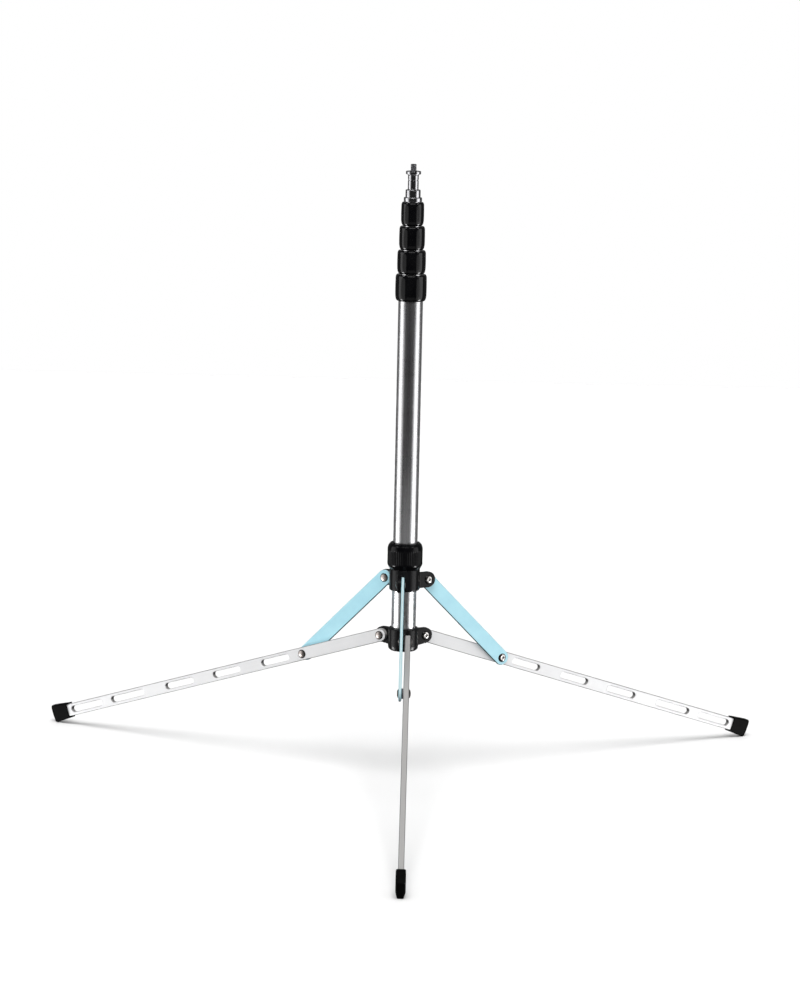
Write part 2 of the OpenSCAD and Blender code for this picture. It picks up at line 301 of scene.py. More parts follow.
class Finish:
    """A Principled material with a procedural colour, roughness and bump built on it."""

    def __init__(self, name, **sockets):
        self.material = bpy.data.materials.new(name)
        self.material.use_nodes = True
        self.tree = self.material.node_tree
        self.shader = self.tree.nodes["Principled BSDF"]
        self.coordinates = self.add("ShaderNodeTexCoord")
        for socket, value in sockets.items():
            self.shader.inputs[socket.replace("_", " ")].default_value = value

    def add(self, kind, **settings):
        made = self.tree.nodes.new(kind)
        for key, value in settings.items():
            setattr(made, key, value)
        return made

    def link(self, source, target):
        self.tree.links.new(source, target)

    def noise(self, scale, detail=3.0, roughness=0.55, distortion=0.0):
        """Noise in the piece's own coordinates, with a scale for each axis per metre."""
        mapping = self.add("ShaderNodeMapping")
        mapping.inputs["Scale"].default_value = scale
        self.link(self.coordinates.outputs["Object"], mapping.inputs["Vector"])
        texture = self.add("ShaderNodeTexNoise")
        texture.inputs["Scale"].default_value = 1.0
        texture.inputs["Detail"].default_value = detail
        texture.inputs["Roughness"].default_value = roughness
        texture.inputs["Distortion"].default_value = distortion
        self.link(mapping.outputs["Vector"], texture.inputs["Vector"])
        return texture.outputs["Fac"]

    def spread(self, value, low, high, to_low=0.0, to_high=1.0):
        """A value stretched from one range to another, and kept inside it.

        Each end of the new range is a number or a socket.
        """
        node = self.add("ShaderNodeMapRange")
        node.inputs["From Min"].default_value = low
        node.inputs["From Max"].default_value = high
        for socket, limit in (("To Min", to_low), ("To Max", to_high)):
            if isinstance(limit, float):
                node.inputs[socket].default_value = limit
            else:
                self.link(limit, node.inputs[socket])
        self.link(value, node.inputs["Value"])
        return node.outputs["Result"]

    def math(self, operation, first, second):
        """Two values, or a value and a number, joined by one operation."""
        node = self.add("ShaderNodeMath", operation=operation)
        self.link(first, node.inputs[0])
        if isinstance(second, float):
            node.inputs[1].default_value = second
        else:
            self.link(second, node.inputs[1])
        return node.outputs["Value"]

    def edges(self, low, high):
        """1 on outer edges and 0 elsewhere, from how sharply the mesh turns."""
        geometry = self.add("ShaderNodeNewGeometry")
        return self.spread(geometry.outputs["Pointiness"], low, high)

    def bar_colour_with_rim_shade(self, face, edges, corners):
        """A bar's face colour on its flat sides, with painted shade on the rims: (upper, lower)
        colours on edges and corners, darker below.
        """
        split = self.add("ShaderNodeSeparateXYZ")
        self.link(self.coordinates.outputs["Normal"], split.inputs["Vector"])
        across = self.math("ABSOLUTE", split.outputs["Y"], 0.0)
        position = self.add("ShaderNodeSeparateXYZ")
        self.link(self.coordinates.outputs["Object"], position.inputs["Vector"])
        off_middle = self.math("ABSOLUTE", position.outputs["Z"], 0.0)
        # Within SLOT_ZONE of the middle line, round the slots, broken edges look like the face.
        outside = self.spread(off_middle, SLOT_ZONE, SLOT_ZONE + MM)
        round_slots = self.spread(across, 0.3, 0.5)
        along_edges = self.spread(across, 0.8, 0.97)
        side = self.spread(outside, 0.0, 1.0, round_slots, along_edges)
        # Painted shade: corners and downward-facing edges get the darker colours, standing in for
        # shade and dark reflection.
        corner = self.spread(across, 0.2, 0.45)
        under = self.spread(split.outputs["Z"], 0.05, -0.3)
        rim = self.mix(corner, self.mix(under, *edges), self.mix(under, *corners))
        return self.mix(side, rim, face)

    def mix(self, share, first, second):
        """A colour between two, each one a colour or a socket."""
        node = self.add("ShaderNodeMix", data_type="RGBA")
        self.link(share, node.inputs["Factor"])
        for socket, colour in (("A", first), ("B", second)):
            target = [s for s in node.inputs if s.name == socket and s.type == "RGBA"][0]
            if isinstance(colour, tuple):
                target.default_value = (*colour, 1.0)
            else:
                self.link(colour, target)
        return [s for s in node.outputs if s.type == "RGBA"][0]

    def colour(self, source):
        self.link(source, self.shader.inputs["Base Color"])

    def roughness(self, source):
        self.link(source, self.shader.inputs["Roughness"])

    def bump(self, layers):
        """Bumps on top of each other, each a (height value, depth in metres)."""
        previous = None
        for height, depth in layers:
            node = self.add("ShaderNodeBump")
            node.inputs["Strength"].default_value = 1.0
            node.inputs["Distance"].default_value = depth
            self.link(height, node.inputs["Height"])
            if previous is not None:
                self.link(previous, node.inputs["Normal"])
            previous = node.outputs["Normal"]
        self.link(previous, self.shader.inputs["Normal"])


def even(scale):
    """The same noise scale on all three axes. Scales are in waves per metre."""
    return (scale, scale, scale)


def stretched(along, slow, fast):
    """A noise scale for streaks that run along one axis."""
    return tuple(slow if axis == along else fast for axis in range(3))


def blend_of(finish, first, share, second):
    """A weighted sum of two noise values."""
    return finish.math(
        "ADD", finish.math("MULTIPLY", first, share), finish.math("MULTIPLY", second, 1.0 - share))


def drawn_metal(name, dark, light, rough, along, rim_shade_colours=None, **sockets):
    """Satin aluminium with fine draw lines along one axis, faint clouds and a fine grain."""
    finish = Finish(name, **sockets)
    line_depth = 2e-6
    grain_depth = 1.6e-6
    lines = finish.noise(stretched(along, 9.0, 2600.0), detail=2.0)
    bands = finish.noise(stretched(along, 3.0, 420.0), detail=2.0)
    clouds = finish.noise(even(38.0), detail=4.0)
    grain = finish.noise(even(5200.0), detail=1.0)
    tone = blend_of(finish, lines, 0.5, clouds)
    shade = finish.mix(finish.spread(tone, 0.36, 0.64), dark, light)
    # Painted shade on a bar's rims when rim colours are given: darker edges, darkest below and on
    # the corners.
    if rim_shade_colours is not None:
        shade = finish.bar_colour_with_rim_shade(shade, *rim_shade_colours)
    finish.colour(shade)
    wear = blend_of(finish, bands, 0.6, clouds)
    finish.roughness(finish.spread(wear, 0.34, 0.66, *rough))
    finish.bump([(lines, line_depth), (grain, grain_depth)])
    return finish.material


def moulded(name, dark, light, rough, grain_mm, depth, worn=None, **sockets):
    """Moulded plastic or rubber: an even fine grain, faint flow clouds and paler rubbed edges."""
    finish = Finish(name, **sockets)
    grain = finish.noise(even(1.0 / (grain_mm * MM)), detail=2.0)
    clouds = finish.noise((70.0, 70.0, 45.0), detail=4.0, distortion=0.4)
    dust = finish.noise(even(900.0), detail=5.0, roughness=0.7)
    tone = finish.mix(finish.spread(clouds, 0.35, 0.65), dark, light)
    if worn is not None:
        patches = finish.spread(dust, 0.4, 0.62)
        rubbed = finish.math("MULTIPLY", finish.edges(0.53, 0.62), patches)
        tone = finish.mix(rubbed, tone, worn)
    finish.colour(tone)
    finish.roughness(finish.spread(dust, 0.35, 0.68, *rough))
    finish.bump([(grain, depth), (clouds, depth * 3.0)])
    return finish.material


def turned_metal(name, dark, light, rough, depth, above=None, rim=False, **sockets):
    """Turned and plated steel: fine rings across the piece's Z axis, faint clouds and specks.

    above is (height, colour) of a duller top. rim paints shade, a near-black ring, on what the mesh
    attribute "rim" marks: the outer flank of each head.
    """
    finish = Finish(name, **sockets)
    dull = (0.42, 0.55)
    head_rim_shade = (0.03, 0.028, 0.027)
    rings = finish.noise((6.0, 6.0, 3400.0), detail=2.0)
    clouds = finish.noise(even(160.0), detail=4.0)
    specks = finish.noise(even(1500.0), detail=4.0, roughness=0.7)
    shade = finish.mix(finish.spread(clouds, 0.35, 0.65), dark, light)
    if above is not None:
        height, other = above
        full = height + 0.2 * MM
        split = finish.add("ShaderNodeSeparateXYZ")
        finish.link(finish.coordinates.outputs["Object"], split.inputs["Vector"])
        level = split.outputs["Z"]
        shade = finish.mix(finish.spread(level, height, full), shade, other)
        rough = [finish.spread(level, height, full, *pair) for pair in zip(rough, dull)]
    # Painted shade: a near-black ring over the outer flank of each head, where the dome turns away.
    if rim:
        marked = finish.add("ShaderNodeAttribute", attribute_name="rim")
        shade = finish.mix(marked.outputs["Fac"], shade, head_rim_shade)
    finish.colour(shade)
    finish.roughness(finish.spread(specks, 0.4, 0.66, *rough))
    finish.bump([(rings, depth)])
    return finish.material


def painted(name, dark, light, rough, rim_shade_colours, **sockets):
    """Satin powder coat: fine orange peel, a faint mottle, and painted shade on the edges, darkest
    below and on the corners.
    """
    finish = Finish(name, **sockets)
    peel_depth = 1.2e-5
    fine_depth = 2e-6
    peel = finish.noise(even(760.0), detail=2.0)
    fine = finish.noise(even(3600.0), detail=1.0)
    mottle = finish.noise(even(60.0), detail=4.0)
    shade = finish.mix(finish.spread(mottle, 0.35, 0.65), dark, light)
    # The rims get painted shade, darkest below and on the corners.
    finish.colour(finish.bar_colour_with_rim_shade(shade, *rim_shade_colours))
    finish.roughness(finish.spread(fine, 0.35, 0.65, *rough))
    finish.bump([(peel, peel_depth), (fine, fine_depth)])
    return finish.material


# Half the height of the strip of a bar that its slots take up.
SLOT_ZONE = 5 * MM
STUD_HEIGHT = 7.3 * MM
stud_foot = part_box("spigot")[1].z - STUD_HEIGHT
# The rims of bars get painted shade and dark reflection: (upper, lower) colours of the edges, then
# of the corners beside them, darkest below where shade falls.
LEG_RIM_SHADE = (((0.33, 0.325, 0.32), (0.1, 0.1, 0.1)), ((0.1, 0.1, 0.1), (0.04, 0.04, 0.04)))
STRUT_RIM_SHADE = (((0.38, 0.48, 0.5), (0.03, 0.07, 0.08)), ((0.3, 0.5, 0.55), (0.02, 0.05, 0.06)))

TUBE = drawn_metal(
    "tube_satin", (0.58, 0.58, 0.59), (0.62, 0.62, 0.63), rough=(0.25, 0.3), along=2, Metallic=1.0)
LEG = drawn_metal(
    "leg_satin", (0.66, 0.66, 0.67), (0.7, 0.7, 0.705), rough=(0.36, 0.44), along=0,
    rim_shade_colours=LEG_RIM_SHADE, Metallic=0.1, Specular_IOR_Level=0.3)
STRUT = painted(
    "strut_powder_coat", (0.37, 0.68, 0.79), (0.41, 0.73, 0.83), rough=(0.34, 0.44),
    rim_shade_colours=STRUT_RIM_SHADE)
HUB = moulded(
    "hub_plastic", (0.003, 0.003, 0.0035), (0.006, 0.006, 0.0065), rough=(0.2, 0.27),
    grain_mm=0.35, depth=3e-6, worn=(0.016, 0.016, 0.017), Specular_IOR_Level=0.17)
COLLAR = moulded(
    "collar_gloss_plastic", (0.0015, 0.0015, 0.002), (0.003, 0.003, 0.0035), rough=(0.12, 0.17),
    grain_mm=0.8, depth=3e-7, worn=(0.006, 0.006, 0.0065), Specular_IOR_Level=0.3)
KNURL = moulded(
    "knurl_plastic", (0.0015, 0.0015, 0.002), (0.003, 0.003, 0.0035), rough=(0.14, 0.2),
    grain_mm=0.4, depth=6e-7, worn=(0.008, 0.008, 0.0085), Specular_IOR_Level=0.13)
BOOT = moulded(
    "boot_rubber", (0.0015, 0.0015, 0.0015), (0.003, 0.003, 0.003), rough=(0.5, 0.62),
    grain_mm=0.3, depth=2e-5, worn=(0.009, 0.009, 0.009), Specular_IOR_Level=0.03)
SCREW = turned_metal(
    "screw_bright", (0.43, 0.415, 0.4), (0.52, 0.505, 0.49), rough=(0.14, 0.26), depth=1.5e-6,
    rim=True, Metallic=1.0)
NUT = turned_metal(
    "nut_satin", (0.3, 0.27, 0.25), (0.38, 0.345, 0.325), rough=(0.32, 0.46), depth=3e-6,
    rim=True, Metallic=1.0)
SPIGOT = turned_metal(
    "spigot_chrome", (0.4, 0.4, 0.415), (0.46, 0.46, 0.475), rough=(0.12, 0.2), depth=3e-7,
    above=(stud_foot, (0.17, 0.17, 0.18)), Metallic=1.0)
PALE = moulded(
    "inner_pale_plastic", (0.7, 0.69, 0.65), (0.78, 0.77, 0.73), rough=(0.42, 0.55),
    grain_mm=0.5, depth=1.2e-5)
DARK = moulded(
    "inner_dark_plastic", (0.045, 0.045, 0.05), (0.065, 0.065, 0.07), rough=(0.42, 0.55),
    grain_mm=0.5, depth=1.2e-5)


# ---- Frames of the legs and struts, from the front leg's joints ----

lower_pin = Vector(JOINTS["front_leg_fold"]["pos_m"])
upper_pin = Vector(JOINTS["front_strut_fold"]["pos_m"])
nut_low, nut_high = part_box("leg_nut_front")
knee = (nut_low + nut_high) / 2
knee.x = 0.0
hinge_r = -lower_pin.y
leg_slope = math.atan2(lower_pin.z - knee.z, lower_pin.y - knee.y)
strut_tilt = math.atan2(upper_pin.z - knee.z, upper_pin.y - knee.y)
strut_at = (knee - lower_pin).length
strut_len = (knee - upper_pin).length


def azimuth(i):
    """X outwards along leg i, Y sideways, from the column's axis."""
    return Matrix.Rotation(math.radians(120 * i - 90), 4, "Z")


def hinge_frame(i, height, slope):
    """The frame of a leg or strut that slopes down from its hinge pin."""
    return azimuth(i) @ Matrix.Translation((hinge_r, 0, height)) @ Matrix.Rotation(slope, 4, "Y")


def facing(x, y, up):
    """A pin's frame inside a leg or strut frame: Z points to the side where its head lies."""
    quarter = math.radians(-90 if up else 90)
    return Matrix.Translation((x, y, 0)) @ Matrix.Rotation(quarter, 4, "X")


LEG_FRAMES = [hinge_frame(i, lower_pin.z, leg_slope) for i in range(3)]
STRUT_FRAMES = [hinge_frame(i, upper_pin.z, strut_tilt) for i in range(3)]


# ---- Tubes ----


def tube_shape(node):
    """A tube with the edges of its two ends broken, from the CAD tube's box."""
    broken = 0.25 * MM
    low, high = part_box(node)
    r = high.x
    bore = r - TUBE_WALL
    corners = [
        (r, low.z, broken), (r, high.z, broken), (bore, high.z, broken), (bore, low.z, broken),
    ]
    return lathe(rounded(corners, steps=2), 128)


TUBE_WALL = 1.2 * MM
TUBES = ("main_tube", "tube_2", "tube_3", "tube_4", "tube_5")
for node in TUBES:
    place(make_mesh(node, tube_shape(node), 40), node, TUBE)


# ---- Twist collars ----


def collar_shape(node, outer_tube, inner_tube):
    """A barrel-shaped collar with shallow flutes, open at both ends and stepped inside."""
    flutes = 12
    flute_depth = 0.22 * MM
    swell_depth = 0.4 * MM
    foot_depth, foot_height = 2.3 * MM, 6.5 * MM
    head_depth, head_height = 1.3 * MM, 4.5 * MM
    gap = 0.35 * MM
    seat = 2 * MM
    foot_lip = 2.3 * MM
    stop_share = 0.58
    low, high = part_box(node)
    r = high.x
    foot = low.z
    h = high.z - low.z
    r_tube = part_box(outer_tube)[1].x
    r_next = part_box(inner_tube)[1].x
    barrel = []
    stations = 56
    first = 0.6 * MM
    last = h - 0.7 * MM
    for step in range(stations + 1):
        z = first + (last - first) * step / stations
        swell = swell_depth * ((z - h / 2) / (h / 2)) ** 2
        foot_round = foot_depth * (1 - math.sqrt(1 - max(0.0, 1 - z / foot_height) ** 2))
        head_round = head_depth * (1 - math.sqrt(1 - max(0.0, 1 - (h - z) / head_height) ** 2))
        barrel.append((r - swell - foot_round - head_round, z, 0))
    corners = [(r_tube + gap, 0, 0.2 * MM), (barrel[0][0] - 0.6 * MM, 0, 0.3 * MM)]
    corners += barrel
    corners += [
        (barrel[-1][0] - 0.6 * MM, h, 0.4 * MM),
        (r_next + gap, h, 0.3 * MM),
        (r_next + gap, h - seat, 0),
        (r_tube + 0.8 * MM, h - seat, 0),
        (r_tube + 1.45 * MM, stop_share * h, 0),
        (r_tube + 2 * MM, stop_share * h, 0),
        (r_tube + 2 * MM, foot_lip, 0),
        (r_tube + gap, foot_lip, 0),
    ]
    profile = [(p, q + foot) for p, q in rounded(corners)]

    def fluted(angle, reach, z):
        outside = smooth_step(reach, r - 2.4 * MM, r - 1.4 * MM)
        above = smooth_step(z - foot, 1.9 * MM, 3.6 * MM)
        below = smooth_step(foot + h - z, 2.0 * MM, 5.0 * MM)
        sag = 0.55 + 0.45 * math.sin(math.pi * min(1.0, max(0.0, (z - foot) / h)))
        scoop = 0.5 + 0.5 * math.cos(flutes * angle)
        return reach - flute_depth * outside * above * below * sag * scoop

    return lathe(profile, flutes * 16, fluted)


for k in range(4):
    node = f"twist_collar_{k + 1}"
    shape = collar_shape(node, TUBES[k], TUBES[k + 1])
    place(make_mesh(node, shape, 40), node, COLLAR)


# ---- Sliding hub's lock ring ----


def lock_ring_shape():
    """A grip ring: ribbed in the middle, with smooth tapers above and below."""
    ribs = 54
    rib_depth = 0.4 * MM
    land = 1.4 * MM
    lip_depth = 3.8 * MM
    low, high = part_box("slider_lock_ring")
    r = high.x
    h = high.z - low.z
    r_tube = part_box("main_tube")[1].x
    lip = r_tube + 0.4 * MM
    body = []
    stations = 24
    first = 5.6 * MM
    last = h - 9.2 * MM
    for step in range(stations + 1):
        body.append((r, first + (last - first) * step / stations, 0))
    corners = [
        (r_tube + 2.7 * MM, 0, 0),
        (r - 2.4 * MM, 0, 0.6 * MM),
        (r - 0.35 * MM, 3.8 * MM, 1.5 * MM),
        (r, 5 * MM, 0.4 * MM),
    ]
    corners += body
    corners += [
        (r, h - 8.0 * MM, 0.3 * MM),
        (r - 0.1 * MM, h - 6.4 * MM, 0.8 * MM),
        (r - 0.9 * MM, h - 4.0 * MM, 1.6 * MM),
        (r - 2.9 * MM, h - land, 1.3 * MM),
        (lip + 1.2 * MM, h - land, 0.4 * MM),
        (lip, h - 1.9 * MM, 0.4 * MM),
        (lip, h - lip_depth, 0),
        (r_tube + 1.9 * MM, h - lip_depth, 0),
        (r_tube + 2.7 * MM, h - 11.9 * MM, 0),
    ]
    profile = [(p, q + low.z) for p, q in rounded(corners)]

    def ribbed(angle, reach, z):
        outside = smooth_step(reach, r - 0.25 * MM, r - 0.1 * MM)
        above = smooth_step(z - low.z, 5.2 * MM, 6.2 * MM)
        below = smooth_step(high.z - z, 8.6 * MM, 9.6 * MM)
        return reach - rib_depth * outside * above * below * (0.5 + 0.5 * math.cos(ribs * angle))

    return lathe(profile, ribs * 6, ribbed)


place(make_mesh("slider_lock_ring", lock_ring_shape(), 40), "slider_lock_ring", KNURL)


# ---- Moulded hubs ----


def moulded_copy(node, voxel, passes):
    """A CAD node's mesh remeshed and relaxed, so that its edges are rounded as in a mould."""
    mesh = frame["nodes"][node].data.copy()
    mesh.materials.clear()
    draft = bpy.data.objects.new(f"{node}_draft", mesh)
    bpy.context.scene.collection.objects.link(draft)
    weld = draft.modifiers.new("weld", "WELD")
    weld.merge_threshold = 1e-6
    remesh = draft.modifiers.new("remesh", "REMESH")
    remesh.mode = "VOXEL"
    remesh.voxel_size = voxel
    relax = draft.modifiers.new("relax", "SMOOTH")
    relax.factor = 0.5
    relax.iterations = passes
    bpy.context.view_layer.update()
    ready = draft.evaluated_get(bpy.context.evaluated_depsgraph_get())
    result = bpy.data.meshes.new_from_object(ready)
    bpy.data.objects.remove(draft)
    result.polygons.foreach_set("use_smooth", [True] * len(result.polygons))
    return result


for node in ("lower_hub", "slider_hub"):
    place(moulded_copy(node, 0.4 * MM, 6), node, HUB)


# ---- Spigot ----


def spigot_shape():
    """The mounting spigot with its flange, waist and threaded stud."""
    low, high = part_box("spigot")
    pitch = 1.27 * MM
    thread_depth = 0.42 * MM
    spigot_mount, stud_mount = frame["record"]["mounts"][:2]
    r = spigot_mount["dims"]["r_mm"] * MM
    r_stud = stud_mount["dims"]["r_mm"] * MM
    r_flange = high.x
    r_waist = 5.65 * MM
    r_groove = r_waist - 0.45 * MM
    r_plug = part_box("tube_5")[1].x - TUBE_WALL - 0.02 * MM
    step = 0.02 * MM
    top = high.z
    rim_top = top - STUD_HEIGHT
    rim = rim_top - 3.3 * MM
    waist = rim - 16.3 * MM
    land = waist - 8.1 * MM
    flange = land - 4.3 * MM
    groove = waist + 10.1 * MM
    corners = [
        (0, low.z, 0), (r_plug, low.z, 0.3 * MM), (r_plug, flange, 0),
        (r_flange, flange, 0.5 * MM), (r_flange, land, 0.9 * MM),
        (r + 0.25 * MM, land + step, 0.2 * MM), (r, land + 0.4 * MM, 0.2 * MM),
        (r, waist, 0.9 * MM), (r_waist + 0.5 * MM, waist + step, 0.4 * MM),
        (r_waist, waist + 0.6 * MM, 0.4 * MM), (r_waist, groove - 0.55 * MM, 0.15 * MM),
        (r_groove, groove - 0.3 * MM, 0.1 * MM), (r_groove, groove + 0.3 * MM, 0.1 * MM),
        (r_waist, groove + 0.55 * MM, 0.15 * MM), (r_waist, rim - 1.2 * MM, 0.6 * MM),
        (r_waist + 1.1 * MM, rim, 0.3 * MM), (r, rim, 0.5 * MM), (r, rim_top, 0.7 * MM),
        (r_stud + 1.3 * MM, rim_top + step, 0.2 * MM),
        (r_stud - 0.55 * MM, rim_top + 0.05 * MM, 0.1 * MM),
    ]
    rings = 48
    thread_from = rim_top + 0.7 * MM
    thread_length = STUD_HEIGHT - 1.3 * MM
    for k in range(rings + 1):
        corners.append((r_stud, thread_from + thread_length * k / rings, 0))
    corners += [(r_stud - 0.75 * MM, top, 0.1 * MM), (0, top, 0)]
    profile = rounded(corners, closed=False)

    def threaded(angle, reach, z):
        on_thread = smooth_step(z, rim_top + 0.5 * MM, rim_top + 1.2 * MM)
        on_thread *= 1 - smooth_step(z, top - 0.9 * MM, top - 0.5 * MM)
        if reach < r_stud - 0.01 * MM:
            return reach
        phase = (z / pitch - angle / (2 * math.pi)) % 1.0
        ridge = abs(2 * phase - 1)
        return reach - thread_depth * on_thread * smooth_step(ridge, 0.1, 0.9)

    return lathe(profile, 96, threaded)


place(make_mesh("spigot", spigot_shape(), 40), "spigot", SPIGOT)


# ---- Pins ----

HEAD_R = 4.7 * MM
BARREL_R = 3 * MM
SHANK_R = 1.5 * MM
HEX_R = 2.15 * MM
# How high the heads stand: every screw's, then the nuts' on the legs and on the struts.
SCREW_HEAD = 1.8 * MM
LEG_HEAD = 1.8 * MM
STRUT_HEAD = 1.4 * MM


def dome(height, from_r, steps=12):
    """The (r, z, radius) path over a button head, from its rim up to a radius."""
    shoulder = 0.8 * HEAD_R
    cap = 0.45 * height
    path = [(HEAD_R - 0.3 * MM, 0, 0), (HEAD_R, 0.25 * MM, 0.1 * MM)]
    path.append((shoulder, height - cap, 0.25 * MM))
    for step in range(1, steps + 1):
        reach = shoulder + (from_r - shoulder) * step / steps
        path.append((reach, height - cap * (reach / shoulder) ** 2, 0))
    return path


def hexed(angle, reach, z):
    """Makes rings of the recess six-sided."""
    if reach > HEX_R + SAME:
        return reach
    half_side = math.radians(30)
    return reach * math.cos(half_side) / math.cos(angle % (2 * half_side) - half_side)


def screw_shape(length, shank):
    """A domed socket screw: head above z = 0, shank below it."""
    height = SCREW_HEAD
    corners = [(0, -length, 0), (shank, -length, 0.3 * MM), (shank, 0, 0)]
    corners += dome(height, HEX_R + 0.12 * MM)
    corners += [
        (HEX_R, height - 0.3 * MM, 0.05 * MM),
        (HEX_R, height - 1.7 * MM, 0),
        (HEX_R * 0.5, height - 1.85 * MM, 0),
        (0, height - 1.9 * MM, 0),
    ]
    return lathe(rounded(corners, closed=False), 48, hexed)


def nut_shape(length, height):
    """A domed sleeve nut: head above z = 0, hollow barrel below it."""
    bore = SHANK_R + 0.05 * MM
    corners = [(0, -0.5 * MM, 0), (bore, -0.5 * MM, 0), (bore, -length, 0)]
    corners += [(BARREL_R, -length, 0.2 * MM), (BARREL_R, 0, 0)]
    corners += dome(height, 0.0)
    return lathe(rounded(corners, closed=False), 48)


def washer_shape(r_in, r_out, thickness):
    """A flat washer from z = 0 up, with its outer edges rounded."""
    soft = 0.3 * MM
    corners = [(r_in, 0, 0), (r_out, 0, soft), (r_out, thickness, soft), (r_in, thickness, 0)]
    return lathe(rounded(corners), 48)


def mark_shaded_rims(mesh, pins):
    """Stores 1 on the low outer rim of every head and 0 elsewhere, where the pins' material paints
    shade.
    """
    rim = mesh.attributes.new("rim", "FLOAT", "POINT")
    inverses = [pin.inverted() for pin in pins]
    for k, vertex in enumerate(mesh.vertices):
        reach = min(math.hypot(*(inverse @ vertex.co).xy) for inverse in inverses)
        rim.data[k].value = smooth_step(reach, 0.77 * HEAD_R, 0.81 * HEAD_R)
    return mesh


def pin_set(name, shape, height, y, up):
    """Three equal pins round the column, drawn as one piece like their CAD node."""
    pins = [hinge_frame(i, height, 0) @ facing(0, y, up) for i in range(3)]
    return mark_shaded_rims(make_mesh(name, merged([moved(shape, pin) for pin in pins]), 35), pins)


def single_pin(name, shape, pin):
    """One pin, drawn in its leg's or strut's own frame."""
    return mark_shaded_rims(make_mesh(name, moved(shape, pin), 35), [pin])


leg_low, leg_high = local_box("leg_front", LEG_FRAMES[0])
strut_low, strut_high = local_box("strut_front", STRUT_FRAMES[0])

# Where the hinge pins' screws start and end, and where the nuts' heads sit, sideways.
LEG_PIN_Y = (-3.65 * MM, 5 * MM)
LEG_NUT_Y = 8.1 * MM
STRUT_PIN_Y = (-7.45 * MM, -1.5 * MM)
STRUT_NUT_Y = 0.05 * MM
leg_pin = screw_shape(LEG_PIN_Y[1] - LEG_PIN_Y[0], SHANK_R)
leg_pin_nut = nut_shape(LEG_NUT_Y + 3.55 * MM, LEG_HEAD)
strut_pin = screw_shape(STRUT_PIN_Y[1] - STRUT_PIN_Y[0], SHANK_R)
strut_pin_nut = nut_shape(STRUT_NUT_Y + 7.35 * MM, STRUT_HEAD)
for node, shape, height, y, up, material, slot in (
        ("leg_pivot_screws", leg_pin, lower_pin.z, LEG_PIN_Y[0], False, SCREW, "screw"),
        ("leg_pivot_nuts", leg_pin_nut, lower_pin.z, LEG_NUT_Y, True, NUT, "nut"),
        ("strut_pivot_screws", strut_pin, upper_pin.z, STRUT_PIN_Y[0], False, SCREW, "screw"),
        ("strut_pivot_nuts", strut_pin_nut, upper_pin.z, STRUT_NUT_Y, True, NUT, "nut")):
    place(pin_set(node, shape, height, y, up), node, material)


# ---- Legs, struts and boots ----

# The start and length of each slot, in millimetres from the hinge.
SLOTS = ((120.5, 38), (187.5, 38), (252.5, 40), (322.5, 48), (383.5, 45))
LEG_EDGE = 0.8 * MM
STRUT_EDGE = 0.9 * MM
SLOT_R = 3.6 * MM
HOLE_R = BARREL_R + 0.05 * MM

leg_holes = [disc(0, HOLE_R), disc(strut_at, HOLE_R)]
for start, length in SLOTS:
    leg_holes.append(stadium(start * MM + SLOT_R, (start + length) * MM - SLOT_R, SLOT_R))
leg_mesh = make_mesh(
    "leg_bar",
    plate(bar_outline(leg_high[0], leg_high[2]), leg_holes, leg_low[1], leg_high[1], LEG_EDGE), 50)

strut_mesh = make_mesh(
    "strut_bar",
    plate(stadium(0, strut_len, strut_high[2]), [disc(0, HOLE_R), disc(strut_len, HOLE_R)],
          strut_low[1], strut_high[1], STRUT_EDGE), 50)

# Into how many parts each of a boot ring's six straight sides is split.
BOOT_SIDES = (3, 16, 5, 3, 5, 16)


def boot_ring(x_at, half_w, low_w, top, bottom, taper, curves, middle):
    """One ring round a boot at x_at(z), always with the same number of points."""
    round_top, round_mid, round_low = curves
    corners = [
        (-half_w, top, round_top), (half_w, top, round_top),
        (half_w, bottom + taper, round_mid), (low_w, bottom, round_low),
        (-low_w, bottom, round_low), (-half_w, bottom + taper, round_mid),
    ]
    steps = 4
    path = rounded(corners, steps=steps)
    ring = []
    for c, count in enumerate(BOOT_SIDES):
        arc = path[c * (steps + 1):(c + 1) * (steps + 1)]
        after = path[((c + 1) * (steps + 1)) % len(path)]
        ring.extend(arc)
        # Extra points along the straight side that follows this corner.
        y, z = arc[-1]
        for j in range(1, count):
            s = j / count
            ring.append((y * (1 - s) + after[0] * s, z * (1 - s) + after[1] * s))
    return [(x_at(z), middle + y, z) for y, z in ring]


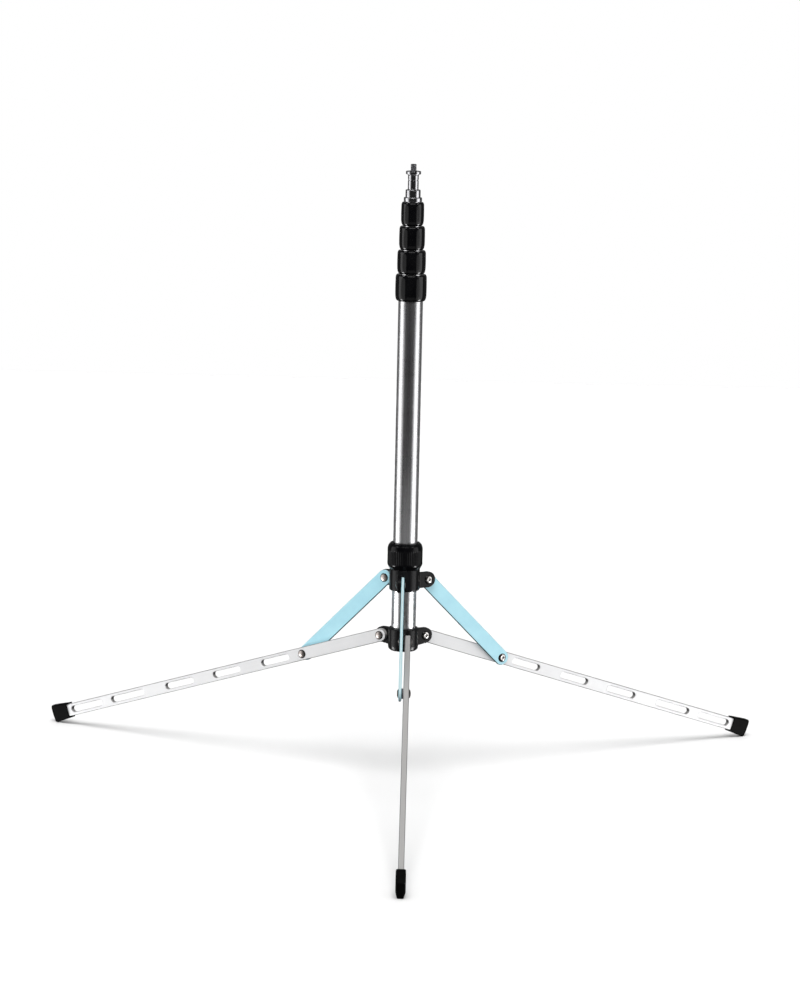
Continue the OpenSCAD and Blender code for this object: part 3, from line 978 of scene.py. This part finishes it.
def boot_shape():
    """A rubber boot: open round the leg, cut back at the sides, tapered towards the floor."""
    low, high = local_box("boot_front", LEG_FRAMES[0])
    inner = low[0]
    reach = high[0]
    middle = (low[1] + high[1]) / 2
    half_w = (high[1] - low[1]) / 2
    tall_out = high[2]
    tall_in = 8.5 * MM
    notch = 2.8 * MM
    end_round = 2.5 * MM
    side_round = 1.3 * MM
    low_share = 0.66
    corner_height = 7 * MM
    play = 0.05 * MM
    cavity = leg_high[0] + play
    straight = reach - end_round - inner

    def half_height(x):
        return tall_in + (tall_out - tall_in) * min(1.0, (x - inner) / straight)

    def cut_back(share):
        def offset(z):
            return notch * share * (1 - smooth_step(abs(z), 6.6 * MM, 7.5 * MM))
        return offset

    def ring(x, share, inset_w=0.0, inset_h=0.0):
        tall = half_height(x) - inset_h
        offset = cut_back(share)
        return boot_ring(
            lambda z: x + offset(z), half_w - inset_w, (half_w - inset_w) * low_share, tall, -tall,
            corner_height, (2.0 * MM, 4 * MM, 1.2 * MM), middle)

    def pocket(x, share):
        offset = cut_back(share)
        wide = (leg_high[1] - leg_low[1]) / 2 + play
        tall = leg_high[2] + play
        return boot_ring(
            lambda z: x + offset(z), wide, wide, tall, -tall,
            1 * MM, (0.2 * MM, 0.1 * MM, 0.2 * MM), middle)

    rings = [pocket(cavity, 0.0), pocket(inner + 4 * MM, 0.8), pocket(inner + 0.25 * MM, 1.0)]
    rings.append(ring(inner, 1.0, 0.45 * MM, 0.35 * MM))
    rings.append(ring(inner + 0.12 * MM, 1.0, 0.12 * MM, 0.1 * MM))
    stations = 12
    mouth = 0.4 * MM
    for step in range(stations + 1):
        s = step / stations
        rings.append(ring(inner + mouth + (straight - mouth) * s, (1 - s) ** 2))
    turns = 7
    for step in range(1, turns + 1):
        phi = math.pi / 2 * step / turns
        fall = 1 - math.cos(phi)
        x = reach - end_round + end_round * math.sin(phi)
        rings.append(ring(x, 0.0, side_round * fall, end_round * fall))
    return loft(rings)


boot_mesh = make_mesh("boot", boot_shape(), 60)

HEAD_GAP = 0.05 * MM
leg_nut_at = leg_high[1] + HEAD_GAP
leg_nut_mesh = single_pin(
    "leg_nut", nut_shape(leg_nut_at - leg_low[1], LEG_HEAD), facing(strut_at, leg_nut_at, True))
strut_screw_high = local_box("strut_screw_front", STRUT_FRAMES[0])[1]
strut_screw_at = strut_low[1] - HEAD_GAP
strut_screw_mesh = single_pin(
    "strut_screw", screw_shape(strut_screw_high[1] - strut_screw_at, BARREL_R),
    facing(strut_len, strut_screw_at, False))
spacer_low, spacer_high = local_box("strut_spacer_front", STRUT_FRAMES[0])
spacer_r = 5.5 * MM
spacer_shape = washer_shape(HOLE_R, spacer_r, spacer_high[1] - spacer_low[1])
spacer_mesh = make_mesh(
    "strut_spacer", moved(spacer_shape, facing(strut_len, spacer_low[1], True)), 35)

for i, side in enumerate(SIDES):
    place(leg_mesh, f"leg_{side}", LEG, LEG_FRAMES[i], flat_faces=True)
    place(boot_mesh, f"boot_{side}", BOOT, LEG_FRAMES[i])
    place(leg_nut_mesh, f"leg_nut_{side}", NUT, LEG_FRAMES[i])
    place(strut_mesh, f"strut_{side}", STRUT, STRUT_FRAMES[i], flat_faces=True)
    place(strut_screw_mesh, f"strut_screw_{side}", SCREW, STRUT_FRAMES[i])
    place(spacer_mesh, f"strut_spacer_{side}", DARK, STRUT_FRAMES[i])


# ---- Inner parts keep their CAD shape and get a finished material ----

INNER_PALE = ["brake_collet"]
INNER_PALE += [f"collet_{k}" for k in range(1, 5)]
INNER_PALE += [f"guide_plug_{k}" for k in range(2, 6)]
INNER_DARK = ["column_plug"] + [f"thread_sleeve_{k}" for k in range(1, 5)]
for nodes, material, slot in ((INNER_PALE, PALE, "inner_pale"), (INNER_DARK, DARK, "inner_dark")):
    for node in nodes:
        part = frame["nodes"][node]
        part.data.materials.clear()
        part.data.materials.append(material)


# ---- Floor, lights and camera ----

scene = bpy.context.scene
scene.view_settings.view_transform = "Standard"

FLOOR_HALF = 3.0
floor_corners = [
    (-FLOOR_HALF, -FLOOR_HALF, 0), (FLOOR_HALF, -FLOOR_HALF, 0),
    (FLOOR_HALF, FLOOR_HALF, 0), (-FLOOR_HALF, FLOOR_HALF, 0),
]
floor_shape = (floor_corners, [(0, 1, 2, 3)])
floor_finish = Finish("floor_pale", Roughness=0.9, Specular_IOR_Level=0.0)
floor_tone = floor_finish.noise(even(3.0), detail=2.0)
floor_finish.colour(floor_finish.mix(floor_tone, (0.74, 0.74, 0.74), (0.755, 0.755, 0.755)))
floor_mesh = make_mesh("floor", floor_shape, 30)
floor_mesh.materials.append(floor_finish.material)
floor = bpy.data.objects.new("floor", floor_mesh)
scene.collection.objects.link(floor)
floor.visible_glossy = False
floor.visible_diffuse = False
floor.visible_shadow = False

# The camera sees a white room. Diffuse surfaces get AMBIENT light, more from above, and
# reflections show a dark room that is a little lighter behind the stand.
WHITE = 1.0
AMBIENT_UP = 0.45
AMBIENT_DOWN = 0.1
AMBIENT_EDGE = 0.25
DARK_FRONT = 0.03
DARK_BACK = 0.16
BACK_FROM = -0.3
# The colour sockets of a Mix node.
MIX_A = 6
MIX_B = 7
MIX_RESULT = 2
world = bpy.data.worlds.new("studio")
scene.world = world
world.use_nodes = True
tree = world.node_tree
tree.nodes.clear()


def grey(value):
    return (value, value, value, 1.0)


direction = tree.nodes.new("ShaderNodeTexCoord")
split = tree.nodes.new("ShaderNodeSeparateXYZ")
tree.links.new(direction.outputs["Generated"], split.inputs["Vector"])
ramp = tree.nodes.new("ShaderNodeValToRGB")
ramp.color_ramp.elements[0].color = grey(DARK_FRONT)
ramp.color_ramp.elements[0].position = 0.0
ramp.color_ramp.elements[1].color = grey(DARK_BACK)
ramp.color_ramp.elements[1].position = 1.0
behind = tree.nodes.new("ShaderNodeMapRange")
behind.inputs["From Min"].default_value = BACK_FROM
behind.inputs["From Max"].default_value = 1.0
tree.links.new(split.outputs["Y"], behind.inputs["Value"])
tree.links.new(behind.outputs["Result"], ramp.inputs["Fac"])
ray = tree.nodes.new("ShaderNodeLightPath")
glossy = tree.nodes.new("ShaderNodeMix")
glossy.data_type = "RGBA"
tree.links.new(ray.outputs["Is Glossy Ray"], glossy.inputs["Factor"])
ambient = tree.nodes.new("ShaderNodeMapRange")
ambient.inputs["From Min"].default_value = -AMBIENT_EDGE
ambient.inputs["From Max"].default_value = AMBIENT_EDGE
ambient.inputs["To Min"].default_value = AMBIENT_DOWN
ambient.inputs["To Max"].default_value = AMBIENT_UP
tree.links.new(split.outputs["Z"], ambient.inputs["Value"])
tree.links.new(ambient.outputs["Result"], glossy.inputs[MIX_A])
tree.links.new(ramp.outputs["Color"], glossy.inputs[MIX_B])
seen = tree.nodes.new("ShaderNodeMix")
seen.data_type = "RGBA"
tree.links.new(ray.outputs["Is Camera Ray"], seen.inputs["Factor"])
tree.links.new(glossy.outputs[MIX_RESULT], seen.inputs[MIX_A])
seen.inputs[MIX_B].default_value = grey(WHITE)
background = tree.nodes.new("ShaderNodeBackground")
tree.links.new(seen.outputs[MIX_RESULT], background.inputs["Color"])
surface = tree.nodes.new("ShaderNodeOutputWorld")
tree.links.new(background.outputs["Background"], surface.inputs["Surface"])


def toward(azimuth_deg, elevation_deg):
    """A direction from the stand: azimuth 0 is the front, 90 the right."""
    a = math.radians(azimuth_deg)
    e = math.radians(elevation_deg)
    return Vector((math.sin(a) * math.cos(e), -math.cos(a) * math.cos(e), math.sin(e)))


def panel(name, azimuth_deg, elevation_deg, distance, width, height, radiance, target):
    """A softbox that shows only as a reflection. Its radiance is its power / (4 x its area)."""
    light = bpy.data.lights.new(name, "AREA")
    light.shape = "RECTANGLE"
    light.size = width
    light.size_y = height
    light.energy = radiance * 4 * width * height
    lamp = bpy.data.objects.new(name, light)
    scene.collection.objects.link(lamp)
    back = toward(azimuth_deg, elevation_deg)
    lamp.location = Vector(target) + back * distance
    lamp.rotation_mode = "QUATERNION"
    lamp.rotation_quaternion = (-back).to_track_quat("-Z", "Y")
    lamp.visible_camera = False
    lamp.visible_diffuse = False
    return lamp


def sun(name, azimuth_deg, elevation_deg, strength, angle_deg):
    """A distant soft light for diffuse surfaces only: a white one facing it shows its strength."""
    light = bpy.data.lights.new(name, "SUN")
    light.energy = strength * math.pi
    light.angle = math.radians(angle_deg)
    lamp = bpy.data.objects.new(name, light)
    scene.collection.objects.link(lamp)
    lamp.rotation_mode = "QUATERNION"
    lamp.rotation_quaternion = (-toward(azimuth_deg, elevation_deg)).to_track_quat("-Z", "Y")
    lamp.visible_glossy = False


BENCH = (0, 0, 0.1)
COLUMN = (0, 0, 0.4)
COLLARS = (0, 0, 0.55)
panel("side_left", -85, 0, 1.9, 1.2, 2.4, 1.6, BENCH)
panel("side_right", 79, 0, 1.9, 1.2, 2.4, 1.6, BENCH)
panel("front_left", -59, -8, 1.9, 0.5, 1.8, 0.62, BENCH)
panel("front_right", 56, -8, 1.9, 0.5, 1.8, 0.6, BENCH)
panel("low_left", -86, -40, 1.6, 0.35, 0.4, 15, COLLARS)
panel("low_right", 82, -40, 1.6, 0.35, 0.4, 20, COLLARS)
panel("high_left", -70, 42, 2.0, 0.5, 0.4, 7, COLUMN)
panel("high_right", 66, 42, 2.0, 0.5, 0.4, 7, COLUMN)
panel("high_front", 0, 50, 2.0, 1.5, 0.5, 4, COLUMN)
# A pale table in front of the stand, just under the floor and turned over to face up.
TURNED_OVER = (0, 1, 0, 0)
table = panel("table_front", 0, -90, 0.0, 1.2, 1.0, 0.2, (0, -1.0, -0.01))
table.rotation_quaternion = TURNED_OVER
sun("overhead", 0, 67, 0.8, 36)
sun("overhead_soft", 0, 74, 0.16, 100)
sun("front_fill", 0, 2, 0.45, 40)
sun("back_fill", 180, 2, 0.4, 40)

# The camera looks at a point near the column's axis: angles in degrees, distances in metres.
CAMERA_AZIMUTH = 0.392
CAMERA_ELEVATION = 10.185
CAMERA_ROLL = 1.253
CAMERA_DISTANCE = 3.7878
AIM_UP = 0.30631
AIM_RIGHT = -0.00668
FOCAL_LENGTH_MM = 127.9
SENSOR_WIDTH_MM = 36
back = toward(CAMERA_AZIMUTH, CAMERA_ELEVATION)
turn = math.radians(CAMERA_AZIMUTH)
right = Vector((math.cos(turn), math.sin(turn), 0))
up = back.cross(right)
roll = math.radians(CAMERA_ROLL)
level_right = right * math.cos(roll) + up * math.sin(roll)
level_up = up * math.cos(roll) - right * math.sin(roll)
lens = bpy.data.cameras.new("camera")
lens.lens = FOCAL_LENGTH_MM
lens.sensor_width = SENSOR_WIDTH_MM
lens.clip_start = 0.1
lens.clip_end = 100
camera = bpy.data.objects.new("camera", lens)
scene.collection.objects.link(camera)
pose = Matrix((level_right, level_up, back)).transposed().to_4x4()
pose.translation = Vector((0, 0, AIM_UP)) + right * AIM_RIGHT + back * CAMERA_DISTANCE
camera.matrix_world = pose
scene.camera = camera
